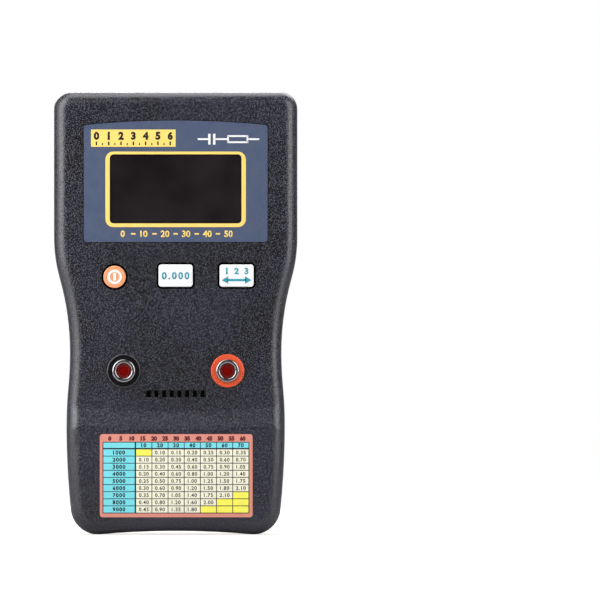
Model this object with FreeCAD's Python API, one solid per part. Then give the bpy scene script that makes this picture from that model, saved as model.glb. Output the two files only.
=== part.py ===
import FreeCAD, Part
import math
import os
from FreeCAD import Vector

# Handheld component tester, standing on its toes with the display side facing -Y.
# X runs to the right of the display, Z runs up the case, and all sizes are in millimetres.

# Case outline seen from the front, with heights taken from the lowest point of the toes
case_length = 180.0
case_width = 99.0
waist_width = 86.0
hip_width = 88.8
toe_width = 85.4
shoulder_height = 121.0
waist_height = 74.0
hip_height = 45.0
shoulder_share = 0.36
hip_share = 0.5
top_corner_radius = 7.1
toe_corner_radius = 11.0
toe_arch_rise = 1.4

# Case depth on either side of the parting plane
front_depth = 16.0
rear_depth = 17.0
wall = 2.2
front_edge_radius = 5.3
rear_edge_radius = 4.0
lip_depth = 1.5
lip_thickness = 1.0
lip_clearance = 0.1
seam_width = 0.5
seam_depth = 0.4

# Raised lower front, reached over a bowed slope
lower_face_rise = 3.0
step_top_height = 50.0
step_slope = 22.0
step_valley_radius = 6.0
step_ridge_radius = 7.0
step_bow_radius = 470.0
step_spare_angle = 1.0

# Facia label and display
facia_top_gap = 11.7
facia_width = 74.8
facia_height = 49.4
facia_crown = 1.9
facia_corner_radius = 1.2
facia_thickness = 0.35
facia_recess = 0.6
facia_clearance = 0.3
window_drop = 27.8
window_width = 53.6
window_height = 28.1
window_corner_radius = 2.0
lens_overlap = 1.0
lens_thickness = 1.5
lens_clearance = 0.1
lcd_glass_overlap = 2.6
lcd_glass_thickness = 2.0
lcd_corner_radius = 0.3
lcd_gap = 0.4
bezel_lip = 0.5
bezel_wall = 1.2
bezel_clearance = 0.2

# Buttons and their switches
button_drop = 13.7
button_pitch = 24.8
power_button_diameter = 9.1
power_button_drop = 0.5
key_width = 13.9
key_height = 9.1
key_corner_radius = 1.2
button_gap = 0.8
button_proud = 0.9
button_edge_radius = 0.4
button_flange_width = 1.5
button_flange_thickness = 1.0
button_stem_diameter = 4.0
button_travel = 0.5
switch_size = 6.0
switch_height = 3.5
switch_corner_radius = 0.5
plunger_diameter = 3.4
plunger_proud = 1.6
plunger_depth = 1.6
plunger_clearance = 0.1

# Test sockets
jack_height = 66.5
jack_pitch = 42.2
collar_diameter = 13.6
collar_proud = 1.0
collar_edge_radius = 0.5
neck_diameter = 9.4
neck_clearance = 0.1
sleeve_head_diameter = 9.5
sleeve_head_thickness = 1.2
sleeve_edge_radius = 0.7
sleeve_diameter = 8.0
liner_diameter = 6.0
liner_sink = 1.0
liner_floor = 1.0
plug_diameter = 4.0
plug_depth = 18.0
sleeve_end_thickness = 1.5
sleeve_clearance = 0.1
nut_across_flats = 11.0
nut_thickness = 3.0
tag_diameter = 10.4
tag_thickness = 0.5
tag_leg_width = 1.6
tag_leg_reach = 7.6
tag_leg_proud = 1.0
tag_hole_clearance = 0.3

# Sound grille and buzzer
grille_height = 57.2
grille_width = 25.1
grille_opening = 2.8
grille_slot_count = 8
grille_slot_width = 1.6
grille_recess = 1.4
grille_corner_radius = 0.4
buzzer_diameter = 12.0
buzzer_length = 5.5
buzzer_port_diameter = 2.4
buzzer_port_depth = 3.6

# Main board and what is soldered to it
board_depth = 10.0
board_thickness = 1.6
board_width = 76.0
board_bottom_height = 49.0
board_top_gap = 13.5
board_corner_radius = 2.0
board_screw_inset_x = 4.0
board_screw_inset_z = 6.0
board_post_diameter = 5.6
board_screw_diameter = 2.4
board_screw_length = 7.0
board_screw_head_diameter = 4.6
board_screw_head_height = 1.6
board_hole_clearance = 0.2
chip_size = 12.0
chip_thickness = 1.6
chip_corner_radius = 0.6
analog_chip_length = 9.9
analog_chip_width = 6.0
analog_chip_thickness = 1.5
analog_chip_corner_radius = 0.3
capacitor_diameter = 6.3
capacitor_length = 7.7
capacitor_offset = 19.0
crystal_length = 11.0
crystal_width = 4.6
crystal_thickness = 3.4
part_spacing = 5.0

# Table label and inspection sticker
table_width = 62.1
table_height = 33.8
table_bottom_height = 7.0
table_corner_radius = 1.2
table_shift = 0.25
label_thickness = 0.15
sticker_width = 16.4
sticker_height = 11.8
sticker_centre_height = 126.3
sticker_thickness = 0.12

# Tilt stand, its well in the rear shell and its hinge
stand_top_height = 114.9
stand_top_width = 50.2
stand_flare_top = 108.0
stand_flare_share = 0.72
stand_inset = 4.1
stand_well_depth = 4.0
stand_sink = 0.2
stand_thickness = 3.4
stand_skin = 2.2
stand_rim = 1.8
stand_edge_radius = 0.8
stand_top_radius = 1.4
stand_clearance = 0.4
stand_rib_thickness = 1.2
stand_rib_offset = 14.0
pivot_height = 111.9
pivot_diameter = 2.6
pivot_length = 2.4
pivot_clearance = 0.07
pivot_end_clearance = 0.4
trough_depth = 1.8
trough_drop = 1.6
ear_slot_offset = 17.3
ear_slot_width = 2.5
ear_slot_bottom = 101.2
ear_rib_top = 108.7
ear_rib_clearance = 0.3
ear_rib_sink = 0.8
lug_inner_offset = 19.5
lug_outer_offset = 28.4
lug_bottom_height = 112.9
lug_top_height = 116.9
lug_leg_bottom = 108.6
lug_proud = 1.4
lug_edge_radius = 0.45
lug_leg_drop = 1.0
lug_leg_sink = 0.14
hood_clearance = 0.3
ramp_bottom_height = 58.0
ramp_blend_radius = 60.0
key_hole_diameter = 7.1
key_hole_upper_height = 75.5
key_hole_lower_height = 56.5
key_neck_width = 2.5
key_neck_length = 5.0
key_pocket_width = 14.0
key_pocket_top = 80.5
key_pocket_bottom = 63.2
key_pocket_depth = 4.0
stand_foot_diameter = 4.9
stand_foot_offset = 28.8
stand_foot_height = 11.0

# Feet and case screws
foot_proud = 1.6
foot_root = 0.1
foot_diameter = 5.3
foot_offset = 31.2
case_screw_side_gap = 8.3
case_screw_top_gap = 8.8
case_screw_toe_gap = 7.7
case_screw_toe_height = 12.0
screw_well_diameter = 6.0
screw_well_wall = 1.3
screw_seat_depth = 3.5
screw_seat_thickness = 2.4
screw_diameter = 2.9
screw_head_diameter = 5.4
screw_head_height = 2.2
screw_hole_clearance = 0.2
screw_edge_share = 0.33
screw_cross_depth_share = 0.5
screw_cross_span_share = 0.66
screw_cross_width_share = 0.17
screw_bite = 8.0
post_diameter = 6.8
post_gap = 0.2

# Battery compartment, door and contacts
cell_diameter = 14.2
cell_length = 49.5
cell_nub_diameter = 5.5
cell_nub_length = 1.0
cell_edge_radius = 0.4
cell_clearance = 0.4
cell_pitch = 15.4
cell_centre_height = 29.0
tub_wall = 1.5
door_width = 62.0
door_bottom_height = 10.5
door_top_height = 61.5
door_thickness = 2.0
door_clearance = 0.2
door_corner_radius = 2.5
door_ledge = 1.8
door_ledge_overlap = 1.5
door_screw_height = 57.0
door_screw_length = 7.0
door_screw_recess_gap = 0.5
door_screw_recess_depth = 0.8
door_boss_diameter = 7.2
door_boss_length = 8.5
door_tab_width = 8.0
door_tab_offset = 18.0
door_tab_reach = 2.0
door_tab_thickness = 1.2
contact_thickness = 0.4
contact_width = 11.0
contact_depth = 11.0
tail_width = 3.0
tail_reach = 2.5
tail_clearance = 0.3
spring_length = 4.6
spring_diameter = 8.0
spring_tip_diameter = 5.0
spring_wire = 0.8
spring_turns = 3
lead_diameter = 1.4
lead_bow = 3.3
lead_spread = 5.0
lead_board_height = 6.0
lead_bend_share = 0.45

# How far joined shapes overlap, how far cutting shapes reach past a wall or past everything,
# how near counts as touching or as the same point, and the corner radius that gives a pad round ends
# as a share of its width
weld = 0.5
through = 2.0
over = 20.0
near = 0.02
same = 1e-6
round_end_share = 0.495

# Places that follow from the sizes above
half_case = case_width / 2
front_total = front_depth + lower_face_rise + label_thickness
rear_total = rear_depth + foot_proud
parting_y = (front_total - rear_total) / 2
face_y = parting_y - front_depth
inner_face_y = face_y + wall
back_y = parting_y + rear_depth
floor_y = back_y - stand_well_depth
stand_outer_y = back_y - stand_sink
stand_inner_y = stand_outer_y - stand_thickness
pivot_y = stand_outer_y - stand_thickness / 2
well_half_width = stand_top_width / 2 + stand_clearance
facia_top = case_length - facia_top_gap
facia_bottom = facia_top - facia_height
facia_back_y = face_y + facia_recess
window_z = facia_top - window_drop
button_z = facia_bottom - button_drop
board_front_y = face_y + board_depth
board_back_y = board_front_y + board_thickness
board_top = case_length - board_top_gap
sleeve_back_y = face_y - collar_proud
sleeve_front_y = sleeve_back_y - sleeve_head_thickness
liner_front_y = sleeve_front_y + liner_sink
liner_end_y = liner_front_y + plug_depth + liner_floor
sleeve_end_y = liner_end_y + sleeve_end_thickness
door_inner_y = floor_y - door_thickness
cell_y = door_inner_y - cell_clearance - cell_diameter / 2
tub_floor_y = cell_y - cell_diameter / 2 - cell_clearance
tub_half_length = (cell_length + cell_nub_length + spring_length) / 2 + contact_thickness
tub_half_height = (cell_pitch + cell_diameter) / 2 + cell_clearance
tub_bottom = cell_centre_height - tub_half_height
tub_top = cell_centre_height + tub_half_height
ledge_y = door_inner_y - door_ledge
seat_y = parting_y + screw_seat_depth


def box(x0, x1, y0, y1, z0, z1):
    return Part.makeBox(x1 - x0, y1 - y0, z1 - z0, Vector(x0, y0, z0))


def rod(x, z, diameter, y0, y1):
    # Round bar along Y
    return Part.makeCylinder(diameter / 2, y1 - y0, Vector(x, y0, z), Vector(0, 1, 0))


def both_sides(shape):
    # The shape and its mirror image on the other side of the case
    return [shape, shape.mirror(Vector(0, 0, 0), Vector(1, 0, 0))]


def rounded_wire(points, radii):
    # Closed outline through the points, with each corner turned by an arc of its radius
    arcs = []
    for index, corner in enumerate(points):
        before = (points[index - 1] - corner).normalize()
        after = (points[(index + 1) % len(points)] - corner).normalize()
        half_angle = math.acos(max(-1.0, min(1.0, before.dot(after)))) / 2
        reach = radii[index] / math.tan(half_angle)
        middle = (before + after).normalize() * (radii[index] / math.sin(half_angle) - radii[index])
        arcs.append((corner + before * reach, corner + middle, corner + after * reach))
    edges = []
    for index, (start, middle, end) in enumerate(arcs):
        edges.append(Part.LineSegment(arcs[index - 1][2], start).toShape())
        if radii[index] > 0:
            edges.append(Part.Arc(start, middle, end).toShape())
    return Part.Wire(edges)


def rounded_rectangle(x, z, width, height, radius, y):
    right = x + width / 2
    left = x - width / 2
    top = z + height / 2
    bottom = z - height / 2
    points = [Vector(left, y, bottom), Vector(right, y, bottom), Vector(right, y, top), Vector(left, y, top)]
    return rounded_wire(points, [radius] * 4)


def plate(wire, thickness):
    # Flat piece standing on the outline, towards +Y for a positive thickness
    return Part.Face(wire).extrude(Vector(0, thickness, 0))


def pad(x, z, width, height, radius, y0, y1):
    return plate(rounded_rectangle(x, z, width, height, radius, y0), y1 - y0)


def dome(x, z, diameter, y, proud):
    # Low moulded bump on a face towards +Y
    radius = (diameter ** 2 / 4 + proud ** 2) / (2 * proud)
    ball = Part.makeSphere(radius, Vector(x, y + proud - radius, z))
    return ball.common(rod(x, z, diameter + over, y, y + over))


def s_curve(shift, drop, share):
    # Two tangent arcs that shift a vertical line sideways: their turn and their radii
    turn = 2 * math.atan2(shift, drop)
    total = drop / math.sin(turn)
    return turn, total * share, total * (1 - share)


def toe_arcs():
    # Taper below the hip, the toe corner and the arch under the case, each tangent to the next
    centre_x = toe_width / 2 - toe_corner_radius
    run = centre_x - hip_width / 2
    drop = hip_height - toe_corner_radius
    taper = (toe_corner_radius ** 2 - run ** 2 - drop ** 2) / (2 * (run + toe_corner_radius))
    lean = math.asin(drop / (taper - toe_corner_radius))
    rise = toe_corner_radius - toe_arch_rise
    arch = (centre_x ** 2 + rise ** 2 - toe_corner_radius ** 2) / (2 * toe_arch_rise)
    turn = math.atan2(toe_arch_rise - arch - toe_corner_radius, -centre_x)
    return [
        (hip_width / 2 - taper, hip_height, taper, 1, 0.0, -lean),
        (centre_x, toe_corner_radius, toe_corner_radius, 1, -lean, turn),
    ]


def case_arcs():
    # Right side of the case from the top down: centre, radius, which way it bulges, first and last angle
    half_waist = waist_width / 2
    half_hip = hip_width / 2
    shoulder_drop = shoulder_height - waist_height
    turn, shoulder, upper_waist = s_curve(half_case - half_waist, shoulder_drop, shoulder_share)
    flare, lower_waist, hip = s_curve(half_hip - half_waist, waist_height - hip_height, hip_share)
    corner_x = half_case - top_corner_radius
    return [
        (corner_x, case_length - top_corner_radius, top_corner_radius, 1, math.pi / 2, 0.0),
        (half_case - shoulder, shoulder_height, shoulder, 1, 0.0, -turn),
        (half_waist + upper_waist, waist_height, upper_waist, -1, math.pi - turn, math.pi),
        (half_waist + lower_waist, waist_height, lower_waist, -1, math.pi, math.pi + flare),
        (half_hip - hip, hip_height, hip, 1, flare, 0.0),
    ] + toe_arcs()


def stand_arcs():
    # Right side of the stand from its flare down
    half_top = stand_top_width / 2
    half_base = hip_width / 2 - stand_inset
    turn, upper, lower = s_curve(half_base - half_top, stand_flare_top - hip_height, stand_flare_share)
    toes = []
    for x, z, radius, bulge, first, last in toe_arcs():
        toes.append((x, z, radius - bulge * stand_inset, bulge, first, last))
    return [
        (half_top + upper, stand_flare_top, upper, -1, math.pi, math.pi + turn),
        (half_base - lower, hip_height, lower, 1, turn, 0.0),
    ] + toes


def half_outline(arcs, inset, start, y):
    # Edges down the right side from a start point on the upper edge, with the last point reached
    edges = []
    last = start
    for x, z, radius, bulge, first_angle, last_angle in arcs:
        reach = radius - bulge * inset
        points = []
        for angle in (first_angle, (first_angle + last_angle) / 2, last_angle):
            points.append(Vector(x + reach * math.cos(angle), y, z + reach * math.sin(angle)))
        if (points[0] - last).Length > same:
            edges.append(Part.LineSegment(last, points[0]).toShape())
        edges.append(Part.Arc(*points).toShape())
        last = points[2]
    return edges, last


def closed_outline(arcs, inset, start, arch_height, y):
    # Outline that is the same on both sides, closed by the upper edge and the arch at the bottom
    edges, last = half_outline(arcs, inset, start, y)
    mirrored = [edge.mirror(Vector(0, 0, 0), Vector(1, 0, 0)) for edge in edges]
    upper = Part.LineSegment(Vector(-start.x, y, start.z), start).toShape()
    arch = Part.Arc(last, Vector(0, y, arch_height), Vector(-last.x, y, last.z)).toShape()
    return Part.Wire(Part.__sortEdges__([upper] + edges + [arch] + mirrored))


def case_outline(inset, y):
    start = Vector(half_case - top_corner_radius, y, case_length - inset)
    return closed_outline(case_arcs(), inset, start, toe_arch_rise + inset, y)


def stand_outline(grow, y):
    start = Vector(stand_top_width / 2 + grow, y, stand_top_height + grow)
    return closed_outline(stand_arcs(), -grow, start, toe_arch_rise + stand_inset - grow, y)


def rim_edges(block, inset):
    # Edges of a block on the case outline, away from the parting plane
    outline = case_outline(inset, 0.0)
    edges = []
    for edge in block.Edges:
        bounds = edge.BoundBox
        if bounds.YMin < parting_y + near and bounds.YMax > parting_y - near:
            continue
        middle = edge.valueAt((edge.FirstParameter + edge.LastParameter) / 2)
        if Part.Vertex(middle.x, 0.0, middle.z).distToShape(outline)[0] < near:
            edges.append(edge)
    return edges


def front_block(inset):
    # Solid front half with its bowed step and rounded rim, inset all over
    slope = math.radians(step_slope)
    upper_y = face_y + inset
    lower_y = upper_y - lower_face_rise
    valley_z = step_top_height - inset * math.tan(slope / 2)
    ridge_z = valley_z - lower_face_rise / math.tan(slope)
    low = -over
    high = case_length + over
    points = [Vector(0, parting_y, low), Vector(0, lower_y, low), Vector(0, lower_y, ridge_z)]
    points += [Vector(0, upper_y, valley_z), Vector(0, upper_y, high), Vector(0, parting_y, high)]
    radii = [0, 0, step_ridge_radius - inset, step_valley_radius + inset, 0, 0]
    axis = Vector(0, 0, step_top_height + step_bow_radius)
    sweep = math.degrees(math.asin(half_case / (axis.z - high))) + step_spare_angle
    profile = Part.Face(rounded_wire(points, radii))
    profile.rotate(axis, Vector(0, 1, 0), -sweep)
    stepped = profile.revolve(axis, Vector(0, 1, 0), 2 * sweep)
    block = plate(case_outline(inset, parting_y), lower_y - parting_y - over).common(stepped).Solids[0]
    return block.makeFillet(front_edge_radius - inset, rim_edges(block, inset)).Solids[0]


def rear_block():
    # Solid rear half, whose flanks ramp down from the upper back to the floor of the stand's well
    low = -over
    high = case_length + over
    points = [Vector(-half_case, parting_y, low), Vector(-half_case, floor_y, low)]
    points += [Vector(-half_case, floor_y, ramp_bottom_height), Vector(-half_case, back_y, lug_bottom_height)]
    points += [Vector(-half_case, back_y, high), Vector(-half_case, parting_y, high)]
    radii = [0, 0, ramp_blend_radius, ramp_blend_radius, 0, 0]
    ramped = Part.Face(rounded_wire(points, radii)).extrude(Vector(case_width, 0, 0))
    block = plate(case_outline(0, parting_y), rear_depth + over).common(ramped).Solids[0]
    return block.makeFillet(rear_edge_radius, rim_edges(block, 0)).Solids[0]


def rear_hollow(depth):
    # Room inside the rear shell down to a depth behind the parting plane
    block = plate(case_outline(wall, parting_y), depth)
    return block.makeFillet(rear_edge_radius - wall, rim_edges(block, wall)).Solids[0]


def case_screw_places():
    top_x = half_case - case_screw_side_gap
    toe_x = toe_width / 2 - case_screw_toe_gap
    top_z = case_length - case_screw_top_gap
    return [(side * x, z) for x, z in ((top_x, top_z), (toe_x, case_screw_toe_height)) for side in (-1, 1)]


def board_screw_places():
    x = board_width / 2 - board_screw_inset_x
    heights = (board_bottom_height + board_screw_inset_z, board_top - board_screw_inset_z)
    return [(side * x, z) for z in heights for side in (-1, 1)]


def jack_places():
    return [(-jack_pitch / 2, jack_height), (jack_pitch / 2, jack_height)]


def button_places():
    return [(-button_pitch, button_z - power_button_drop), (0.0, button_z), (button_pitch, button_z)]


def facia_outline(grow, y):
    # Label outline with straight sides and an arched upper edge
    side = facia_width / 2 + grow
    bottom = facia_bottom - grow
    shoulder = facia_top - facia_crown + grow
    lower_left = Vector(-side, y, bottom)
    lower_right = Vector(side, y, bottom)
    upper_right = Vector(side, y, shoulder)
    upper_left = Vector(-side, y, shoulder)
    edges = [Part.LineSegment(upper_left, lower_left).toShape()]
    edges.append(Part.LineSegment(lower_left, lower_right).toShape())
    edges.append(Part.LineSegment(lower_right, upper_right).toShape())
    edges.append(Part.Arc(upper_right, Vector(0, y, facia_top + grow), upper_left).toShape())
    return Part.Wire(edges)


def facia_plate(grow, thickness):
    sheet = plate(facia_outline(grow, facia_back_y), -thickness)
    corners = [edge for edge in sheet.Edges if edge.BoundBox.YLength > thickness / 2]
    return sheet.makeFillet(facia_corner_radius + grow, corners)


def power_outline(grow, y0, y1):
    x, z = button_places()[0]
    return rod(x, z, power_button_diameter + 2 * grow, y0, y1)


def key_outline(place, grow, y0, y1):
    x, z = place
    return pad(x, z, key_width + 2 * grow, key_height + 2 * grow, key_corner_radius + grow, y0, y1)


def front_shell():
    outer = front_block(0)
    shell = outer.cut(front_block(wall))
    rebate = lip_thickness + lip_clearance
    shell = shell.cut(plate(case_outline(wall - rebate, parting_y), -lip_depth - lip_clearance))
    posts = [rod(x, z, post_diameter, face_y - over, parting_y - post_gap) for x, z in case_screw_places()]
    posts += [rod(x, z, board_post_diameter, face_y - over, board_front_y) for x, z in board_screw_places()]
    shell = shell.fuse([post.common(outer) for post in posts])
    cuts = []
    for x, z in case_screw_places():
        cuts.append(rod(x, z, screw_diameter, seat_y - screw_seat_thickness - screw_bite, parting_y))
    for x, z in board_screw_places():
        cuts.append(rod(x, z, board_screw_diameter, board_back_y - board_screw_length, board_front_y))
    cuts.append(facia_plate(facia_clearance, facia_recess + over))
    lens_width = window_width + 2 * (lens_overlap + lens_clearance)
    lens_height = window_height + 2 * (lens_overlap + lens_clearance)
    cuts.append(pad(0, window_z, lens_width, lens_height, window_corner_radius, face_y,
                    inner_face_y + through))
    cuts.append(power_outline(button_gap, face_y - over, inner_face_y + through))
    for place in button_places()[1:]:
        cuts.append(key_outline(place, button_gap, face_y - over, inner_face_y + through))
    for x, z in jack_places():
        cuts.append(rod(x, z, neck_diameter + 2 * neck_clearance, face_y - over, inner_face_y + through))
    cuts.append(pad(0, grille_height, grille_width, grille_opening, grille_corner_radius, face_y - over,
                    face_y + grille_recess))
    grille_pitch = grille_width / grille_slot_count
    for index in range(grille_slot_count):
        x = (index - (grille_slot_count - 1) / 2) * grille_pitch
        half = grille_slot_width / 2
        low = grille_height - grille_opening / 2
        cuts.append(box(x - half, x + half, face_y, inner_face_y + through, low, low + grille_opening))
    return shell.cut(cuts)


def screw_well(x, z, top_y):
    # Tube in the rear shell that leads a screw down to its seat
    outer = screw_well_diameter + 2 * screw_well_wall
    return rod(x, z, outer, seat_y - screw_seat_thickness, top_y)


def stand_well():
    # Room for the stand in the rear shell, deeper under the hinge
    well = plate(stand_outline(stand_clearance, floor_y), over)
    trough_y = floor_y - trough_depth
    trough_top = stand_top_height + stand_clearance
    trough_bottom = pivot_height - trough_drop
    trough = box(-well_half_width, well_half_width, trough_y, floor_y + weld, trough_bottom, trough_top)
    return well.fuse(trough)


def hinge_lug():
    # Right-hand lug: a block that hoods the stand's ear, and a leg that runs out beside it
    block = box(lug_inner_offset, lug_outer_offset, back_y - weld, back_y + lug_proud,
                lug_bottom_height, lug_top_height)
    block = block.makeFillet(lug_edge_radius, [edge for edge in block.Edges if edge.BoundBox.YMin > back_y])
    leg_y = back_y + lug_proud - lug_leg_sink
    leg_top = lug_top_height - lug_leg_drop
    points = [Vector(well_half_width, floor_y, lug_leg_bottom), Vector(well_half_width, floor_y, leg_top)]
    points += [Vector(well_half_width, leg_y, leg_top), Vector(well_half_width, leg_y, lug_bottom_height)]
    points += [Vector(well_half_width, stand_outer_y, lug_leg_bottom)]
    profile = Part.Face(Part.makePolygon(points + points[:1]))
    leg = profile.extrude(Vector(lug_outer_offset - well_half_width, 0, 0))
    room = box(0, well_half_width, floor_y - over, stand_outer_y + hood_clearance,
               lug_leg_bottom - over, stand_top_height + stand_clearance)
    return block.fuse(leg).cut(room).removeSplitter()


def battery_tub(grow, y0, y1):
    length = tub_half_length + grow
    return box(-length, length, y0, y1, tub_bottom - grow, tub_top + grow)


def door_pad(grow, y0, y1):
    height = door_top_height - door_bottom_height + 2 * grow
    centre = (door_top_height + door_bottom_height) / 2
    return pad(0, centre, door_width + 2 * grow, height, door_corner_radius + grow, y0, y1)


def door_tab(grow):
    # Right-hand tab that hooks the door under the floor of the shell
    half = door_tab_width / 2 + grow
    hook_y = floor_y - wall - door_clearance
    low = door_bottom_height - door_tab_reach - grow
    high = door_bottom_height + door_tab_thickness + grow
    left = door_tab_offset - half
    right = door_tab_offset + half
    inner_y = hook_y - door_tab_thickness - grow
    hook = box(left, right, inner_y, hook_y + grow, low, high)
    leg = box(left, right, inner_y, floor_y - grow - weld, door_bottom_height - grow, high)
    return hook.fuse(leg)


def contact_places():
    return [cell_centre_height - cell_pitch / 2, cell_centre_height + cell_pitch / 2]


def terminal_tail(z, grow):
    # Strip that leads a battery terminal out through the floor of the tub
    half = tail_width / 2 + grow
    outer_x = tub_half_length
    low_y = tub_floor_y - tub_wall - tail_reach
    return box(outer_x - contact_thickness - grow, outer_x, low_y, cell_y, z - half, z + half)


def rear_shell():
    outer = rear_block()
    ceiling_z = stand_top_height + stand_clearance + wall
    hollow_low = rear_hollow(rear_depth - stand_well_depth - wall)
    hollow_high = rear_hollow(rear_depth - wall)
    hollow_high = hollow_high.common(box(-half_case, half_case, parting_y, back_y, ceiling_z, case_length))
    shell = outer.cut(hollow_low).cut(hollow_high)
    lip = plate(case_outline(wall - lip_thickness, parting_y), -lip_depth)
    lip = lip.cut(plate(case_outline(wall, parting_y), -lip_depth))
    root = plate(case_outline(wall - lip_thickness, parting_y), lip_depth)
    root = root.cut(plate(case_outline(wall, parting_y), lip_depth))
    inner_floor_y = floor_y - wall
    adds = [lip, root]
    for x, z in case_screw_places():
        adds.append(screw_well(x, z, inner_floor_y + weld))
    for x, z in case_screw_places()[:2]:
        adds.append(screw_well(x, z, back_y - weld))
    trough_back_y = floor_y - trough_depth - wall
    adds.append(box(-well_half_width - wall, well_half_width + wall, trough_back_y, floor_y - weld,
                    pivot_height - trough_drop - wall, ceiling_z))
    adds.append(door_pad(door_clearance + door_ledge_overlap, ledge_y, inner_floor_y + weld))
    adds.append(battery_tub(tub_wall, tub_floor_y - tub_wall, inner_floor_y + weld))
    half_pocket = key_pocket_width / 2
    pocket_y = floor_y - key_pocket_depth
    adds.append(box(-half_pocket - tub_wall, half_pocket + tub_wall, pocket_y - tub_wall, floor_y - weld,
                    key_pocket_bottom - tub_wall, key_pocket_top + tub_wall))
    adds.append(rod(0, door_screw_height, door_boss_diameter, ledge_y - door_boss_length, ledge_y + weld))
    shell = shell.fuse(adds)
    seam = plate(case_outline(0, parting_y), seam_width)
    cuts = [stand_well(), seam.cut(plate(case_outline(seam_depth, parting_y), seam_width))]
    for x, z in case_screw_places():
        cuts.append(rod(x, z, screw_well_diameter, seat_y, back_y + over))
        cuts.append(rod(x, z, screw_diameter + 2 * screw_hole_clearance, parting_y - over, seat_y))
    cuts.append(door_pad(door_clearance, door_inner_y, floor_y + weld))
    cuts.append(battery_tub(0, tub_floor_y, floor_y + weld))
    cuts += both_sides(door_tab(door_clearance))
    cuts.append(box(-half_pocket, half_pocket, pocket_y, floor_y + weld, key_pocket_bottom, key_pocket_top))
    cuts.append(rod(0, door_screw_height, board_screw_diameter, door_inner_y - door_screw_length, floor_y))
    cuts += [terminal_tail(z, tail_clearance) for z in contact_places()]
    shell = shell.cut(cuts)
    lugs = both_sides(hinge_lug())
    feet = both_sides(dome(foot_offset, case_length - case_screw_top_gap, foot_diameter, back_y - foot_root,
                           foot_proud + foot_root))
    ribs = both_sides(ear_rib())
    shell = shell.fuse(lugs + feet + ribs)
    hole_radius = pivot_diameter / 2 + pivot_clearance
    hole_length = pivot_length + pivot_end_clearance
    start = Vector(stand_top_width / 2, pivot_y, pivot_height)
    holes = both_sides(Part.makeCylinder(hole_radius, hole_length, start, Vector(1, 0, 0)))
    return shell.cut(holes).removeSplitter()


def ear_rib():
    # Rib on the floor of the well that guides the closed stand by its right-hand slot
    width = ear_slot_width - 2 * ear_rib_clearance
    height = ear_rib_top - ear_slot_bottom - ear_rib_clearance
    centre = ear_slot_bottom + ear_rib_clearance + height / 2
    top_y = stand_outer_y - ear_rib_sink
    return pad(ear_slot_offset, centre, width, height, width * round_end_share, floor_y - weld, top_y)


def key_slot():
    # Double-ended key slot: two round holes whose sides are drawn in to a narrow neck
    y = stand_outer_y - over
    neck = key_neck_width / 2
    radius = key_hole_diameter / 2
    middle = (key_hole_upper_height + key_hole_lower_height) / 2
    reach = key_hole_upper_height - middle - key_neck_length / 2
    bend = (neck ** 2 + reach ** 2 - radius ** 2) / (2 * (radius - neck))
    turn = math.atan2(reach, neck + bend)
    touch = radius * math.cos(turn)

    def drawn_in(side, way):
        # Hollow side between the neck and the upper hole (way 1) or the lower hole (way -1)
        points = []
        for angle in (0.0, turn / 2, turn):
            z = key_neck_length / 2 + bend * math.sin(angle)
            points.append(Vector(side * (neck + bend - bend * math.cos(angle)), y, middle + way * z))
        return Part.Arc(*points).toShape()

    edges = [drawn_in(side, way) for side in (-1, 1) for way in (-1, 1)]
    for side in (-1, 1):
        low = Vector(side * neck, y, middle - key_neck_length / 2)
        high = Vector(side * neck, y, middle + key_neck_length / 2)
        edges.append(Part.LineSegment(low, high).toShape())
    for centre, way in ((key_hole_upper_height, 1), (key_hole_lower_height, -1)):
        touch_z = centre - way * radius * math.sin(turn)
        far = Vector(0, y, centre + way * radius)
        edges.append(Part.Arc(Vector(-touch, y, touch_z), far, Vector(touch, y, touch_z)).toShape())
    return plate(Part.Wire(Part.__sortEdges__(edges)), 2 * over)


def tilt_stand():
    body = plate(stand_outline(0, stand_inner_y), stand_thickness)
    top = [edge for edge in body.Edges if edge.BoundBox.ZMin > stand_top_height - near]
    body = body.makeFillet(stand_top_radius, top)
    rim = [edge for edge in body.Edges
           if edge.BoundBox.YMin > stand_outer_y - near and edge.BoundBox.ZMax < stand_flare_top + near]
    body = body.makeFillet(stand_edge_radius, rim)
    hollow = plate(stand_outline(-stand_rim, stand_inner_y), stand_thickness - stand_skin)
    hollow_top = ear_slot_bottom - stand_rim - ear_slot_width / 2
    hollow = hollow.common(box(-half_case, half_case, stand_inner_y, stand_outer_y, 0, hollow_top))
    rib_half = stand_rib_thickness / 2
    ribs = [box(x - rib_half, x + rib_half, stand_inner_y, stand_outer_y, 0, case_length)
            for x in (-stand_rib_offset, stand_rib_offset)]
    body = body.cut(hollow.cut(ribs))
    half_slot = ear_slot_width / 2
    slot = rod(ear_slot_offset, ear_slot_bottom + half_slot, ear_slot_width, stand_inner_y, stand_outer_y)
    ear_inner = ear_slot_offset + half_slot
    slot = slot.fuse(box(ear_slot_offset - half_slot, ear_inner, stand_inner_y, stand_outer_y,
                         ear_slot_bottom + half_slot, stand_top_height))
    ear_outer = stand_top_width / 2
    crown = box(ear_inner, ear_outer, stand_inner_y, stand_outer_y, pivot_height, stand_top_height)
    knuckle_start = Vector(ear_inner, pivot_y, pivot_height)
    knuckle = Part.makeCylinder(stand_thickness / 2, ear_outer - ear_inner, knuckle_start, Vector(1, 0, 0))
    pin_start = Vector(ear_outer - weld, pivot_y, pivot_height)
    pin = Part.makeCylinder(pivot_diameter / 2, pivot_length + weld, pin_start, Vector(1, 0, 0))
    body = body.cut(both_sides(slot) + both_sides(crown) + [key_slot()])
    foot = dome(stand_foot_offset, stand_foot_height, stand_foot_diameter, stand_outer_y - foot_root,
                foot_proud + stand_sink + foot_root)
    return body.fuse(both_sides(knuckle) + both_sides(pin) + both_sides(foot)).removeSplitter()


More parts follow.
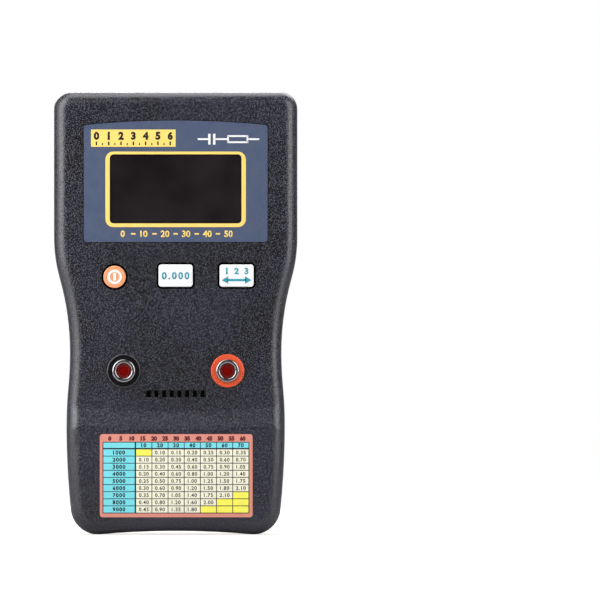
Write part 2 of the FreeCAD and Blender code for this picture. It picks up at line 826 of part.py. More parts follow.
def battery_door():
    door = door_pad(0, door_inner_y, floor_y)
    recess = board_screw_head_diameter + 2 * door_screw_recess_gap
    head = rod(0, door_screw_height, recess, floor_y - door_screw_recess_depth, floor_y)
    hole = rod(0, door_screw_height, board_screw_diameter + 2 * board_hole_clearance, door_inner_y, floor_y)
    return door.fuse(both_sides(door_tab(0))).cut([head, hole]).removeSplitter()


def pan_screw(x, z, seat, shank, head_height, head_diameter, diameter):
    # Cross-head screw driven from +Y, with its head on the seat
    head = rod(x, z, head_diameter, seat, seat + head_height)
    top = [edge for edge in head.Edges if edge.BoundBox.YMin > seat + head_height / 2 and edge.Closed]
    head = head.makeFillet(head_height * screw_edge_share, top)
    arm = head_diameter * screw_cross_span_share / 2
    slot = head_diameter * screw_cross_width_share / 2
    depth = seat + head_height * (1 - screw_cross_depth_share)
    cross = box(x - arm, x + arm, depth, seat + over, z - slot, z + slot)
    cross = cross.fuse(box(x - slot, x + slot, depth, seat + over, z - arm, z + arm))
    return head.cut(cross).fuse(rod(x, z, diameter, seat - shank, seat)).removeSplitter()


def case_screws():
    shank = screw_seat_thickness + screw_bite
    return [pan_screw(x, z, seat_y, shank, screw_head_height, screw_head_diameter, screw_diameter)
            for x, z in case_screw_places()]


def battery_door_screw():
    seat = floor_y - door_screw_recess_depth
    shank = door_screw_length - (seat - door_inner_y)
    return pan_screw(0, door_screw_height, seat, shank, board_screw_head_height, board_screw_head_diameter,
                     board_screw_diameter)


def board_screws():
    return [pan_screw(x, z, board_back_y, board_screw_length, board_screw_head_height,
                      board_screw_head_diameter, board_screw_diameter) for x, z in board_screw_places()]


def facia_label():
    sheet = facia_plate(0, facia_thickness)
    window = pad(0, window_z, window_width, window_height, window_corner_radius, face_y - over, facia_back_y)
    return sheet.cut(window)


def display_window():
    width = window_width + 2 * lens_overlap
    height = window_height + 2 * lens_overlap
    return pad(0, window_z, width, height, window_corner_radius, facia_back_y, facia_back_y + lens_thickness)


def lcd_size(grow):
    return window_width + 2 * (lcd_glass_overlap + grow), window_height + 2 * (lcd_glass_overlap + grow)


def lcd_layers():
    # Where the bezel's lip, the glass and the backlight begin behind the window
    lip_y = facia_back_y + lens_thickness + lcd_gap
    glass_y = lip_y + bezel_lip
    light_y = glass_y + lcd_glass_thickness
    return lip_y, glass_y, light_y


def lcd_glass():
    width, height = lcd_size(0)
    glass_y, light_y = lcd_layers()[1:]
    return pad(0, window_z, width, height, lcd_corner_radius, glass_y, light_y)


def lcd_backlight():
    width, height = lcd_size(0)
    return pad(0, window_z, width, height, lcd_corner_radius, lcd_layers()[2], board_front_y)


def lcd_bezel():
    width, height = lcd_size(bezel_clearance)
    outer_width, outer_height = lcd_size(bezel_clearance + bezel_wall)
    lip_y, glass_y = lcd_layers()[:2]
    outer_radius = lcd_corner_radius + bezel_wall
    frame = pad(0, window_z, outer_width, outer_height, outer_radius, lip_y, board_front_y)
    room = pad(0, window_z, width, height, lcd_corner_radius, glass_y, board_front_y)
    sight = pad(0, window_z, window_width + lens_overlap, window_height + lens_overlap, window_corner_radius,
                lip_y, glass_y)
    return frame.cut([room, sight])


def button_body(outline):
    # Moulded cap with a flange that stops it behind the panel and a stem that meets the switch
    front_y = face_y - button_proud
    cap = outline(0, front_y, inner_face_y)
    edges = [edge for edge in cap.Edges if edge.BoundBox.YMax < front_y + near]
    cap = cap.makeFillet(button_edge_radius, edges)
    flange = outline(button_flange_width, inner_face_y, inner_face_y + button_flange_thickness)
    return cap.fuse(flange)


def plunger_tip_y():
    return board_front_y - switch_height - plunger_proud


def finish_button(body, place):
    x, z = place
    stem = rod(x, z, button_stem_diameter, inner_face_y + button_flange_thickness, plunger_tip_y())
    return body.fuse(stem).removeSplitter()


def power_button():
    return finish_button(button_body(power_outline), button_places()[0])


def key_button(index):
    place = button_places()[index]
    return finish_button(button_body(lambda grow, y0, y1: key_outline(place, grow, y0, y1)), place)


def switch_plunger(index):
    x, z = button_places()[index]
    return rod(x, z, plunger_diameter, plunger_tip_y(), plunger_tip_y() + plunger_proud + plunger_depth)


def switch_bodies():
    bodies = []
    for x, z in button_places():
        front = board_front_y - switch_height
        block = pad(x, z, switch_size, switch_size, switch_corner_radius, front, board_front_y)
        room = rod(x, z, plunger_diameter + 2 * plunger_clearance, front,
                   front + plunger_depth + button_travel + plunger_clearance)
        bodies.append(block.cut(room))
    return bodies


def jack_collar(index):
    x, z = jack_places()[index]
    flange = rod(x, z, collar_diameter, face_y - collar_proud, face_y)
    rim = [edge for edge in flange.Edges if edge.Closed and edge.BoundBox.YMax < face_y - collar_proud / 2]
    flange = flange.makeFillet(collar_edge_radius, rim)
    neck = rod(x, z, neck_diameter, face_y, inner_face_y)
    bore = rod(x, z, sleeve_diameter + 2 * sleeve_clearance, face_y - over, inner_face_y)
    return flange.fuse(neck).cut(bore).removeSplitter()


def jack_sleeve(index):
    x, z = jack_places()[index]
    head = rod(x, z, sleeve_head_diameter, sleeve_front_y, sleeve_back_y)
    shank = rod(x, z, sleeve_diameter, sleeve_back_y, sleeve_end_y)
    bore = rod(x, z, liner_diameter, sleeve_front_y - over, liner_end_y)
    body = head.fuse(shank).cut(bore).removeSplitter()
    rim = [edge for edge in body.Edges if edge.Closed and edge.BoundBox.YMax < sleeve_front_y + near]
    return body.makeFillet(sleeve_edge_radius, rim)


def jack_liner(index):
    x, z = jack_places()[index]
    cup = rod(x, z, liner_diameter, liner_front_y, liner_end_y)
    return cup.cut(rod(x, z, plug_diameter, liner_front_y, liner_end_y - liner_floor))


def jack_nuts():
    nuts = []
    radius = nut_across_flats / math.sqrt(3)
    for x, z in jack_places():
        corners = []
        for step in range(7):
            angle = math.radians(60 * step)
            corners.append(Vector(x + radius * math.cos(angle), inner_face_y, z + radius * math.sin(angle)))
        blank = plate(Part.makePolygon(corners), nut_thickness)
        nuts.append(blank.cut(rod(x, z, sleeve_diameter, inner_face_y, inner_face_y + nut_thickness)))
    return nuts


def tag_leg(x, z, grow):
    # Leg of a solder tag, bent to pass through the board on the inner side of its socket
    way = -math.copysign(1, x)
    start_y = inner_face_y + nut_thickness
    inner = x + way * (tag_leg_reach - tag_thickness - grow)
    outer = x + way * (tag_leg_reach + grow)
    half = tag_leg_width / 2 + grow
    end_y = board_back_y + tag_leg_proud
    return box(min(inner, outer), max(inner, outer), start_y, end_y, z - half, z + half)


def jack_tags():
    tags = []
    for x, z in jack_places():
        way = -math.copysign(1, x)
        start_y = inner_face_y + nut_thickness
        ring = rod(x, z, tag_diameter, start_y, start_y + tag_thickness)
        half = tag_leg_width / 2
        tip = x + way * tag_leg_reach
        arm = box(min(x, tip), max(x, tip), start_y, start_y + tag_thickness, z - half, z + half)
        hole = rod(x, z, sleeve_diameter, start_y, start_y + tag_thickness)
        tags.append(ring.fuse(arm).cut(hole).fuse(tag_leg(x, z, 0)).removeSplitter())
    return tags


def main_board():
    centre = (board_bottom_height + board_top) / 2
    board = pad(0, centre, board_width, board_top - board_bottom_height, board_corner_radius,
                board_front_y, board_back_y)
    holes = []
    for x, z in board_screw_places():
        holes.append(rod(x, z, board_screw_diameter + 2 * board_hole_clearance, board_front_y, board_back_y))
    for x, z in jack_places():
        holes.append(rod(x, z, sleeve_diameter + 2 * board_hole_clearance, board_front_y, board_back_y))
        holes.append(tag_leg(x, z, tag_hole_clearance))
    return board.cut(holes)


def buzzer():
    front = board_front_y - buzzer_length
    body = rod(0, grille_height, buzzer_diameter, front, board_front_y)
    return body.cut(rod(0, grille_height, buzzer_port_diameter, front, front + buzzer_port_depth))


def controller_chip():
    end_y = board_back_y + chip_thickness
    return pad(0, window_z, chip_size, chip_size, chip_corner_radius, board_back_y, end_y)


def analog_chips():
    z = (button_z + jack_height) / 2
    x = analog_chip_length / 2 + part_spacing
    end_y = board_back_y + analog_chip_thickness
    chip = pad(x, z, analog_chip_length, analog_chip_width, analog_chip_corner_radius, board_back_y, end_y)
    return both_sides(chip)


def capacitors():
    end_y = board_back_y + capacitor_length
    return both_sides(rod(capacitor_offset, button_z, capacitor_diameter, board_back_y, end_y))


def crystal():
    z = window_z - chip_size / 2 - part_spacing - crystal_width / 2
    return pad(0, z, crystal_length, crystal_width, crystal_width * round_end_share, board_back_y,
               board_back_y + crystal_thickness)


def table_label():
    y = face_y - lower_face_rise
    z = table_bottom_height + table_height / 2
    return pad(table_shift, z, table_width, table_height, table_corner_radius, y - label_thickness, y)


def inspection_sticker():
    ring = Part.Ellipse(Vector(0, back_y, sticker_centre_height), sticker_width / 2, sticker_height / 2)
    edge = ring.toShape()
    edge.rotate(Vector(0, back_y, sticker_centre_height), Vector(1, 0, 0), 90)
    return plate(Part.Wire([edge]), sticker_thickness)


def battery_cell(index):
    # Dry cell along X: the upper one points its nub to +X, the lower one to -X
    z = contact_places()[index]
    way = 1 if index else -1
    nub_end = way * (tub_half_length - contact_thickness)
    shoulder = nub_end - way * cell_nub_length
    start = Vector(shoulder, cell_y, z)
    can = Part.makeCylinder(cell_diameter / 2, cell_length, start, Vector(-way, 0, 0))
    can = can.makeFillet(cell_edge_radius, [edge for edge in can.Edges if edge.Closed])
    nub = Part.makeCylinder(cell_nub_diameter / 2, cell_nub_length, start, Vector(way, 0, 0))
    return can.fuse(nub).removeSplitter()


def contact_plate(x, z0, z1):
    low_y = cell_y - contact_depth / 2
    return box(x, x + contact_thickness, low_y, low_y + contact_depth, z0, z1)


def battery_terminals():
    x = tub_half_length - contact_thickness
    half = contact_width / 2
    return [contact_plate(x, z - half, z + half).fuse(terminal_tail(z, 0)).removeSplitter()
            for z in contact_places()]


def battery_link_plate():
    low, high = contact_places()
    return contact_plate(-tub_half_length, low - contact_width / 2, high + contact_width / 2)


def battery_springs():
    # Conical contact spring at the flat end of each cell
    springs = []
    for z, way in zip(contact_places(), (1, -1)):
        rise = spring_length - spring_wire
        taper = math.degrees(math.atan2((spring_tip_diameter - spring_diameter) / 2, rise))
        radius = (spring_diameter - spring_wire) / 2
        coil = Part.makeLongHelix(rise / spring_turns, rise, radius, taper)
        ring = Part.Wire([Part.makeCircle(spring_wire / 2, Vector(radius, 0, 0), Vector(0, 1, 0))])
        spring = Part.Wire(coil.Edges).makePipeShell([ring], True, True)
        spring.rotate(Vector(0, 0, 0), Vector(0, 1, 0), -90 * way)
        root = way * (tub_half_length - contact_thickness - spring_wire / 2)
        spring.translate(Vector(root, cell_y, z))
        springs.append(spring)
    return springs


def lead(points):
    # Insulated wire through the points, with every bend as wide as its shorter run allows
    edges = []
    last = points[0]
    for before, corner, after in zip(points, points[1:], points[2:]):
        back = before - corner
        ahead = after - corner
        reach = lead_bend_share * min(back.Length, ahead.Length)
        back = back.normalize()
        ahead = ahead.normalize()
        half_angle = math.acos(back.dot(ahead)) / 2
        radius = reach * math.tan(half_angle)
        middle = corner + (back + ahead).normalize() * (radius / math.sin(half_angle) - radius)
        edges.append(Part.LineSegment(last, corner + back * reach).toShape())
        edges.append(Part.Arc(corner + back * reach, middle, corner + ahead * reach).toShape())
        last = corner + ahead * reach
    edges.append(Part.LineSegment(last, points[-1]).toShape())
    path = Part.Wire(edges)
    ring = Part.Wire([Part.makeCircle(lead_diameter / 2, points[0], points[1] - points[0])])
    return path.makePipeShell([ring], True, False)


def battery_lead(index):
    # Wire from a terminal's tail, over the lower edge of the board, to a pad on its front
    x = tub_half_length - contact_thickness / 2
    tail_y = tub_floor_y - tub_wall - tail_reach
    bow_y = tail_y - lead_bow
    z = contact_places()[index]
    pad_x = x - lead_spread * (1 - index)
    pad_z = board_bottom_height + lead_board_height
    points = [Vector(x, tail_y, z), Vector(x, bow_y, z)]
    points += [Vector(pad_x, bow_y, pad_z), Vector(pad_x, board_front_y, pad_z)]
    return lead(points)


pieces = {
    "front_shell": front_shell(),
    "rear_shell": rear_shell(),
    "tilt_stand": tilt_stand(),
    "facia_label": facia_label(),
    "display_window": display_window(),
    "lcd_glass": lcd_glass(),
    "lcd_backlight": lcd_backlight(),
    "lcd_bezel": lcd_bezel(),
    "power_button": power_button(),
    "zero_button": key_button(1),
    "mode_button": key_button(2),
    "power_switch_plunger": switch_plunger(0),
    "zero_switch_plunger": switch_plunger(1),
    "mode_switch_plunger": switch_plunger(2),
    "switch_bodies": Part.makeCompound(switch_bodies()),
    "negative_jack_collar": jack_collar(0),
    "positive_jack_collar": jack_collar(1),
    "negative_jack_sleeve": jack_sleeve(0),
    "positive_jack_sleeve": jack_sleeve(1),
    "negative_jack_liner": jack_liner(0),
    "positive_jack_liner": jack_liner(1),
    "jack_nuts": Part.makeCompound(jack_nuts()),
    "jack_solder_tags": Part.makeCompound(jack_tags()),
    "main_board": main_board(),
    "board_screws": Part.makeCompound(board_screws()),
    "buzzer": buzzer(),
    "controller_chip": controller_chip(),
    "analog_chips": Part.makeCompound(analog_chips()),
    "capacitors": Part.makeCompound(capacitors()),
    "crystal": crystal(),
    "case_screws": Part.makeCompound(case_screws()),
    "battery_door": battery_door(),
    "battery_door_screw": battery_door_screw(),
    "lower_cell": battery_cell(0),
    "upper_cell": battery_cell(1),
    "battery_terminals": Part.makeCompound(battery_terminals()),
    "battery_link_plate": battery_link_plate(),
    "battery_springs": Part.makeCompound(battery_springs()),
    "negative_battery_lead": battery_lead(0),
    "positive_battery_lead": battery_lead(1),
    "table_label": table_label(),
    "inspection_sticker": inspection_sticker(),
}

os.makedirs("parts", exist_ok=True)
for name, shape in pieces.items():
    shape.exportStep("parts/" + name + ".step")
    print(name, len(shape.Solids), round(shape.Volume, 1), shape.isValid())
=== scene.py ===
import bpy
import math
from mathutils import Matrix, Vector


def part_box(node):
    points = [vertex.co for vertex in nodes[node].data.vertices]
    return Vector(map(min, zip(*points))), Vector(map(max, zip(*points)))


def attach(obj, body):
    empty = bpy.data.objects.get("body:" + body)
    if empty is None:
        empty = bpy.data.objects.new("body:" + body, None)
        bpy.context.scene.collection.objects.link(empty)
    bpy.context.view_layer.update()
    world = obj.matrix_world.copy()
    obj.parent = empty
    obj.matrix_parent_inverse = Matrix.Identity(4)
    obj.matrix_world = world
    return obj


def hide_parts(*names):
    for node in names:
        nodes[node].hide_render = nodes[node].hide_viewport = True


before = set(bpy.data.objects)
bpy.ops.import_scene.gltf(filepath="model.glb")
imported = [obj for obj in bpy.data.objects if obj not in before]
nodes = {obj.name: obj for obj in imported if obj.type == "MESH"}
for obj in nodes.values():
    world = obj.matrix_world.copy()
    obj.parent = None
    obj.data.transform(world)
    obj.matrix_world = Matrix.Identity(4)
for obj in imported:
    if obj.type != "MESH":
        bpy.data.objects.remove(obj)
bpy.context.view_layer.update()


# The front shell is one injection moulding of charcoal ABS with a coarse spark-eroded texture all over.
# Posts moulded inside it take the case screws, and the rear shell's lip locates it along the seam.
mm = 0.001


class Signal:
    # A shader socket that can stand in a sum: each operator adds its Math node to the same tree
    def __init__(self, socket):
        self.socket = socket

    def node(self, kind, settings, inputs, output=0):
        tree = self.socket.id_data
        made = tree.nodes.new(kind)
        for name, value in settings.items():
            setattr(made, name, value)
        for name, value in inputs.items():
            if isinstance(value, Signal):
                tree.links.new(value.socket, made.inputs[name])
            else:
                made.inputs[name].default_value = value
        return Signal(made.outputs[output])

    def maths(self, operation, first, second):
        return self.node("ShaderNodeMath", {"operation": operation}, {0: first, 1: second})

    def __add__(self, other):
        return self.maths("ADD", self, other)

    def __radd__(self, other):
        return self.maths("ADD", other, self)

    def __sub__(self, other):
        return self.maths("SUBTRACT", self, other)

    def __rsub__(self, other):
        return self.maths("SUBTRACT", other, self)

    def __mul__(self, other):
        return self.maths("MULTIPLY", self, other)

    def __rmul__(self, other):
        return self.maths("MULTIPLY", other, self)

    def between(self, low, high):
        # Smooth rise from 0 to 1 as the signal goes from low to high
        settings = {"interpolation_type": "SMOOTHSTEP"}
        return self.node("ShaderNodeMapRange", settings, {"Value": self, "From Min": low, "From Max": high})

    def blend(self, first, second):
        # The first colour where the signal is 0 and the second where it is 1
        return self.node("ShaderNodeMix", {"data_type": "RGBA"}, {0: self, 6: first, 7: second}, 2)

    def along(self, axis):
        # One coordinate of a place or direction: X is 0, Y is 1 and Z is 2
        return self.node("ShaderNodeSeparateXYZ", {}, {"Vector": self}, axis)

    def length(self):
        return self.node("ShaderNodeVectorMath", {"operation": "LENGTH"}, {0: self}, 1)


def tint(red, green, blue):
    # Screen values from 0 to 255 as the linear colour that a shader takes
    linear = [((value / 255 + 0.055) / 1.055) ** 2.4 for value in (red, green, blue)]
    return (*linear, 1.0)


def new_finish(name, roughness, specular):
    # A material, its shader, and the place on the piece that its patterns follow
    material = bpy.data.materials.new(name)
    material.use_nodes = True
    shader = material.node_tree.nodes["Principled BSDF"]
    shader.inputs["Roughness"].default_value = roughness
    shader.inputs["Specular IOR Level"].default_value = specular
    place = Signal(material.node_tree.nodes.new("ShaderNodeTexCoord").outputs["Object"])
    return material, shader, place


def feed(shader, socket, signal):
    shader.id_data.links.new(signal.socket, shader.inputs[socket])


def noise(place, size, detail):
    # Soft random pattern whose blotches are about this size in metres. It is weak in planes along its own
    # axes, so it is turned away from the flat faces of the tester.
    slant = (0.5, 0.35, 0.7)
    turned = place.node("ShaderNodeMapping", {}, {"Vector": place, "Rotation": slant})
    return place.node("ShaderNodeTexNoise", {}, {"Vector": turned, "Scale": 1 / size, "Detail": detail})


def emboss(shader, height, depth, strength):
    inputs = {"Height": height, "Distance": depth, "Strength": strength}
    feed(shader, "Normal", height.node("ShaderNodeBump", {}, inputs))


def moulded_plastic(name, deep, pale, roughness, specular, grain, depth):
    # Plastic from a spark-eroded mould: pits all over, and a colour that drifts a little with the flow
    material, shader, place = new_finish(name, roughness, specular)
    pits = noise(place, grain, 3.0).between(0.49, 0.7)
    flow = noise(place, 35 * mm, 2.0).between(0.3, 0.7)
    feed(shader, "Base Color", (pits * 0.8 + flow * 0.2).blend(deep, pale))
    feed(shader, "Roughness", pits * 0.16 + (roughness - 0.04))
    emboss(shader, pits, depth, 0.6)
    return material


def pattern_of(material):
    # The shader of a finished material and the place that its patterns follow
    found = material.node_tree.nodes
    return found["Principled BSDF"], Signal(found["Texture Coordinate"].outputs["Object"])


def from_line(place, x, z):
    # Distance from a line that runs from front to back through x and z
    inputs = {"Vector": place, "Location": (-x, 0, -z), "Scale": (1, 0, 1)}
    return place.node("ShaderNodeMapping", {}, inputs).length()


def recolour(shader, mask, colour):
    # Another colour over the shader's own where the mask is 1
    own = Signal(shader.inputs["Base Color"].links[0].from_socket)
    feed(shader, "Base Color", mask.blend(own, colour))


def dress(material, *names):
    # Gives CAD pieces their finish
    for name in names:
        nodes[name].data.materials.clear()
        nodes[name].data.materials.append(material)


charcoal = moulded_plastic("charcoal_abs", tint(0, 0, 2), tint(54, 54, 82), 0.33, 0.9, 0.48 * mm, 0.09 * mm)
dress(charcoal, "front_shell")
shell_shader, shell_place = pattern_of(charcoal)
shell_x = shell_place.along(0)
shell_y = shell_place.along(1)
shell_z = shell_place.along(2)
fade = 0.5 * mm

# Painted shade: the groove round the facia film is coloured black
film_low, film_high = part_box("facia_label")
groove_x = film_high.x + fade
between_sides = 1.0 - (shell_x * shell_x).between(groove_x ** 2, (groove_x + fade) ** 2)
over_bottom = shell_z.between(film_low.z - 2 * fade, film_low.z - fade)
under_top = 1.0 - shell_z.between(film_high.z + fade, film_high.z + 2 * fade)
in_groove = shell_y.between(film_low.y + 0.15 * mm, film_low.y + 0.3 * mm)
groove = between_sides * over_bottom * under_top * in_groove

# The ribs of the sound grille, sunk behind the face, get the same painted shade
grille_z = 57.2 * mm
grille_reach = 13 * mm
near_grille = 1.0 - from_line(shell_place, 0, grille_z).between(grille_reach, grille_reach + fade)
behind_face = shell_y.between(film_high.y + 0.1 * mm, film_high.y + 0.4 * mm)
recolour(shell_shader, groove + near_grille * behind_face, tint(0, 0, 0))


# The facia is a polyester film, reverse printed in slate blue and stuck into a shallow recess of the shell.
# A yellow frame is printed round the window, with a numbered plate, a circuit symbol and a scale about it.
def printed_film(name, shade, roughness=0.45):
    # Printed film or paper: even ink with a faint mottle and a very fine tooth
    material, shader, place = new_finish(name, roughness, 0.2)
    mottle = noise(place, 4 * mm, 3.0).between(0.3, 0.7)
    tooth = noise(place, 0.25 * mm, 1.0)
    paler = tuple(value * 0.93 + 0.015 for value in shade[:3]) + (1.0,)
    feed(shader, "Base Color", mottle.blend(shade, paler))
    feed(shader, "Roughness", tooth * 0.12 + (roughness - 0.06))
    emboss(shader, tooth, 0.01 * mm, 0.3)
    return material


def middle(name):
    # Middle of a CAD piece at rest
    low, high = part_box(name)
    return (low + high) / 2


def settle(name):
    # The piece just added, under its own name, with its place and size put into its mesh
    bpy.ops.object.transform_apply(location=True, rotation=True, scale=True)
    piece = bpy.context.object
    piece.name = name
    piece.data.name = name
    return piece


def choose(piece):
    bpy.ops.object.select_all(action="DESELECT")
    piece.select_set(True)
    bpy.context.view_layer.objects.active = piece


def edit_all():
    bpy.ops.object.mode_set(mode="EDIT")
    bpy.ops.mesh.select_all(action="SELECT")


def thicken(thickness):
    # Draws the selected flat faces out towards the viewer of the front, and closes the solid
    bpy.ops.mesh.extrude_region_move(TRANSFORM_OT_translate={"value": (0, -thickness, 0)})
    bpy.ops.mesh.select_all(action="SELECT")
    bpy.ops.mesh.normals_make_consistent(inside=False)
    bpy.ops.object.mode_set(mode="OBJECT")


def rounded_sheet(x, y, z, width, height, corner):
    # Flat sheet that faces the viewer of the front, left in edit mode with all of it selected
    bpy.ops.object.select_all(action="DESELECT")
    bpy.ops.mesh.primitive_plane_add(size=1, location=(x, y, z), rotation=(math.pi / 2, 0, 0))
    bpy.context.object.scale = (width, height, 1)
    settle("sheet")
    edit_all()
    bpy.ops.mesh.bevel(affect="VERTICES", offset=corner, segments=6)
    bpy.ops.mesh.select_all(action="SELECT")


def drop_middle():
    # Takes out the selected face that an inset has left, and selects the rim round it
    bpy.ops.mesh.delete(type="FACE")
    bpy.ops.mesh.select_all(action="SELECT")


def printed_patch(x, y, z, width, height, corner, thickness):
    rounded_sheet(x, y, z, width, height, corner)
    thicken(thickness)
    return bpy.context.object


def printed_figures(figures, x, y, z, height, weight, thickness, spacing=1.0):
    # Figures of a given height, centred on their place and as heavy as their weight
    bpy.ops.object.select_all(action="DESELECT")
    bpy.ops.object.text_add(rotation=(math.pi / 2, 0, 0))
    text = bpy.context.object.data
    text.body = figures
    text.offset = weight
    text.space_character = spacing
    text.resolution_u = 4
    bpy.ops.object.convert(target="MESH")
    edit_all()
    bpy.ops.mesh.remove_doubles(threshold=0.0001)
    bpy.ops.object.mode_set(mode="OBJECT")
    bpy.ops.object.origin_set(type="ORIGIN_GEOMETRY", center="BOUNDS")
    piece = bpy.context.object
    piece.scale *= height / piece.dimensions.y
    piece.location = (x, y, z)
    settle("figures")
    edit_all()
    thicken(thickness)
    return piece


def copies(piece, shifts):
    # The same shape again at each shift along X and Z, each with its own mesh
    made = []
    for across, up in shifts:
        choose(piece)
        bpy.ops.object.duplicate()
        bpy.ops.transform.translate(value=(across, 0, up))
        made.append(settle("copy"))
    return made


def printed(name, parts, material, body):
    # Joins flat parts into one print that rides with a body of the tester
    choose(parts[0])
    for part in parts:
        part.select_set(True)
    bpy.ops.object.join()
    piece = settle(name)
    piece.data.materials.clear()
    piece.data.materials.append(material)
    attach(piece, body)
    return piece


dress(printed_film("slate_film", tint(74, 85, 111)), "facia_label")
facia_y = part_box("facia_label")[0].y
ink = 0.03 * mm
sharp_corner = 0.05 * mm
small_corner = 0.1 * mm
eased_corner = 0.2 * mm
yellow_ink = printed_film("yellow_ink", tint(249, 213, 114))
black_ink = printed_film("black_ink", tint(16, 14, 18))
white_ink = printed_film("white_ink", tint(240, 240, 242))

window = middle("display_window")
frame_side = 1.75 * mm
window_width = 53.6 * mm
window_height = 28.1 * mm
frame_height = 30.7 * mm
frame_drop = 0.2 * mm
frame_corner = 3.2 * mm
frame_z = window.z - frame_drop
rounded_sheet(0, facia_y, frame_z, window_width + 2 * frame_side, frame_height, frame_corner)
bpy.ops.mesh.inset(thickness=frame_side)
stretch = window_height / (frame_height - 2 * frame_side)
bpy.ops.transform.resize(value=(1, 1, stretch), center_override=(0, facia_y, frame_z))
bpy.ops.transform.translate(value=(0, 0, frame_drop))
drop_middle()
thicken(ink)
printed("window_frame_print", [bpy.context.object], yellow_ink, "case")

plate_x = -17.2 * mm
plate_z = 161.1 * mm
plate_width = 34.4 * mm
plate_height = 7.0 * mm
plate = printed_patch(plate_x, facia_y, plate_z, plate_width, plate_height, eased_corner, ink)
printed("scale_plate_print", [plate], yellow_ink, "case")

marks_y = facia_y - ink
mark_count = 7
mark_pitch = 5.0 * mm
first_mark_x = plate_x - (mark_count - 1) / 2 * mark_pitch
number_z = plate_z + 0.95 * mm
long_tick_z = plate_z - 2.1 * mm
short_tick_z = plate_z - 2.4 * mm
short_tick_x = first_mark_x + mark_pitch / 2
long_tick = printed_patch(first_mark_x, marks_y, long_tick_z, 0.6 * mm, 1.5 * mm, sharp_corner, ink)
short_tick = printed_patch(short_tick_x, marks_y, short_tick_z, 0.45 * mm, 0.9 * mm, sharp_corner, ink)
plate_marks = [long_tick, short_tick]
plate_marks += copies(long_tick, [(step * mark_pitch, 0) for step in range(1, mark_count)])
plate_marks += copies(short_tick, [(step * mark_pitch, 0) for step in range(1, mark_count - 1)])
for step in range(mark_count):
    x = first_mark_x + step * mark_pitch
    plate_marks.append(printed_figures(str(step), x, marks_y, number_z, 3.3 * mm, 0.06, ink))
printed("scale_plate_marks", plate_marks, black_ink, "case")

symbol_z = 160.7 * mm
wire = 0.7 * mm
symbol = []
for wire_x, wire_length in ((11.2, 4.4), (18.4, 5.2), (31.65, 4.7)):
    symbol.append(printed_patch(wire_x * mm, facia_y, symbol_z, wire_length * mm, wire, small_corner, ink))
for capacitor_x in (13.7, 15.7):
    symbol.append(printed_patch(capacitor_x * mm, facia_y, symbol_z, 0.95 * mm, 4.4 * mm, small_corner, ink))
resistor_x = 25.25 * mm
rounded_sheet(resistor_x, facia_y, symbol_z, 8.6 * mm, 3.2 * mm, eased_corner)
bpy.ops.mesh.inset(thickness=wire)
drop_middle()
thicken(ink)
symbol.append(bpy.context.object)
printed("circuit_symbol_print", symbol, white_ink, "case")

scale_z = 122.2 * mm
scale_pitch = 8.6 * mm
scale_count = 6
first_number_x = -(scale_count - 1) / 2 * scale_pitch
dash_x = first_number_x + scale_pitch / 2
dash = printed_patch(dash_x, facia_y, scale_z, 1.8 * mm, 0.6 * mm, small_corner, ink)
scale_parts = [dash] + copies(dash, [(step * scale_pitch, 0) for step in range(1, scale_count - 1)])
for step in range(scale_count):
    x = first_number_x + step * scale_pitch
    scale_parts.append(printed_figures(str(step * 10), x, facia_y, scale_z, 2.7 * mm, 0.03, ink))
printed("range_scale_print", scale_parts, yellow_ink, "case")


# The display is an unlit dark crystal panel behind a glossy smoked acrylic lens that drops into the shell.
# A folded steel bezel, painted black, clamps the glass and its white light guide to the board.
def smooth_gloss(name, deep, pale, roughness, specular):
    # Polished surface with a faint cloud in its depth
    material, shader, place = new_finish(name, roughness, specular)
    cloud = noise(place, 18 * mm, 2.0).between(0.25, 0.75)
    haze = noise(place, 1.2 * mm, 2.0)
    feed(shader, "Base Color", cloud.blend(deep, pale))
    feed(shader, "Roughness", haze * 0.06 + (roughness - 0.03))
    return material


dress(smooth_gloss("smoked_acrylic", tint(24, 20, 21), tint(36, 32, 33), 0.12, 0.3), "display_window")
dress(smooth_gloss("display_glass", tint(34, 38, 36), tint(42, 47, 44), 0.1, 0.5), "lcd_glass")
white_abs = moulded_plastic(
    "white_abs", tint(222, 222, 218), tint(236, 236, 234), 0.4, 0.4, 0.4 * mm, 0.02 * mm)
dress(white_abs, "lcd_backlight")
black_paint = moulded_plastic(
    "black_paint", tint(20, 20, 21), tint(30, 30, 32), 0.45, 0.5, 0.3 * mm, 0.02 * mm)
dress(black_paint, "lcd_bezel")


# The three keys are mouldings flanged behind the panel, coloured in front of it and black, as painted shade,
# where each drops into its opening.
# The round one has a raised white ring and bar, the others are printed, and each stands on its own switch.
def capped_key(name, deep, pale, node):
    # Coloured in front of the panel, with painted shade: black where the key drops into its opening
    material, shader, place = new_finish(name, 0.4, 0.35)
    cap_depth = 0.9 * mm
    shade_fade = 0.05 * mm
    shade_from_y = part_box(node)[0].y + cap_depth
    painted_gap_shade = place.along(1).between(shade_from_y - shade_fade, shade_from_y + shade_fade)
    pits = noise(place, 0.5 * mm, 2.0).between(0.3, 0.7)
    feed(shader, "Base Color", painted_gap_shade.blend(pits.blend(deep, pale), tint(2, 2, 3)))
    feed(shader, "Roughness", pits * 0.12 + 0.34 + painted_gap_shade * 0.5)
    emboss(shader, pits, 0.01 * mm, 0.4)
    dress(material, node)


def flat_disc(x, y, z, corners, width, height, turn=0):
    # Flat regular shape that faces the viewer of the front, left in edit mode with all of it selected
    bpy.ops.object.select_all(action="DESELECT")
    bpy.ops.mesh.primitive_circle_add(
        vertices=corners, radius=1, fill_type="NGON", location=(x, y, z), rotation=(math.pi / 2, turn, 0))
    bpy.context.object.scale = (width / 2, height / 2, 1)
    settle("disc")
    edit_all()


def flat_ring(x, y, z, width, height, line, thickness):
    # Round or oval line that faces the viewer of the front
    round_corners = 72
    flat_disc(x, y, z, round_corners, width, height)
    bpy.ops.mesh.inset(thickness=line)
    drop_middle()
    thicken(thickness)
    return bpy.context.object


